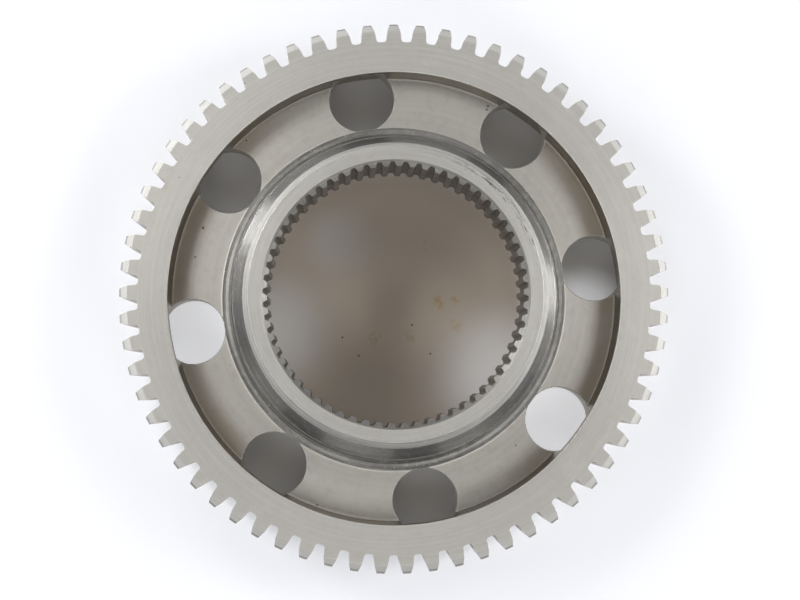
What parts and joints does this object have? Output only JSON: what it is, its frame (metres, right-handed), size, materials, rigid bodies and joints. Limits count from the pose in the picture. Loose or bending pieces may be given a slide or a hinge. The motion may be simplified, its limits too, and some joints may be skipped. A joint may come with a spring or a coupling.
{
  "type": "planetary gear hub",
  "caption": "One-piece steel gear hub: external spur teeth on a wide rim, a dished web with round holes, and a raised hub with an internal involute spline.",
  "frame": {"origin": "centre of the rim's back face, which the part rests on", "axes": "+Z along the gear axis towards the raised hub face; +X and +Y are the picture's right and up"},
  "size_m": [0.268, 0.2679, 0.0575],
  "materials": {
    "gear_hub": "machined and lightly ground steel with fine turning marks"
  },
  "bodies": {
    "root": {"gear_hub": "gear_hub"}
  },
  "joints": []
}
